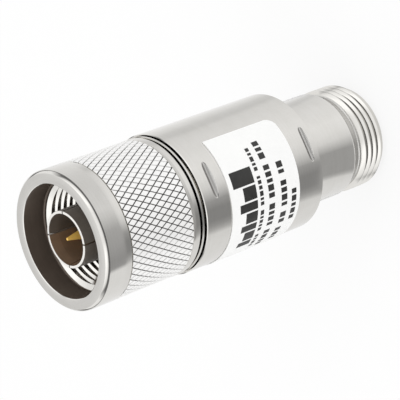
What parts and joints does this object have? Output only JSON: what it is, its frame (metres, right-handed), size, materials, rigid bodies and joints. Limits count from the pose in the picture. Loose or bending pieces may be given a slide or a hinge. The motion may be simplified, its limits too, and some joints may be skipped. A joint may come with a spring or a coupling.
{
  "type": "coaxial fixed attenuator",
  "caption": "Inline coaxial fixed attenuator: slotted plug with a knurled free-turning coupling nut, smooth staked barrel with a wrap label, and a threaded jack.",
  "frame": {"origin": "centre of the jack's front face, on which the part stands", "axes": "+Z along the connector axis, from the jack to the plug; -Y towards the side of the first pair of stake marks"},
  "size_m": [0.0207, 0.0207, 0.056],
  "materials": {
    "plated_metal": "turned, satin bright",
    "gold_plate": "gold plated",
    "bare_brass": "turned",
    "spring_steel": "tempered",
    "bead_polymer": "waxy",
    "gasket_rubber": "matt",
    "label_film": "satin film",
    "card_ceramic": "fired"
  },
  "bodies": {
    "body": {"plug_shell": "plated_metal", "snap_ring": "bare_brass", "plug_gasket": "gasket_rubber", "plug_pin": "gold_plate", "plug_bead": "bead_polymer", "plug_bead_bush": "bare_brass", "barrel": "plated_metal", "rating_label": "label_film", "resistor_card": "card_ceramic", "card_clamp_front": "bare_brass", "card_clamp_rear": "bare_brass", "spring_washer": "spring_steel", "jack_shell": "plated_metal", "jack_contact": "gold_plate", "jack_bead": "bead_polymer", "jack_bead_bush": "bare_brass"},
    "nut": {"coupling_nut": "plated_metal"}
  },
  "joints": [
    {"name": "nut_spin", "type": "hinge", "parent": "body", "child": "nut", "pos_m": [0, 0, 0.0422], "axis": [0, 0, 1], "continuous": true}
  ]
}
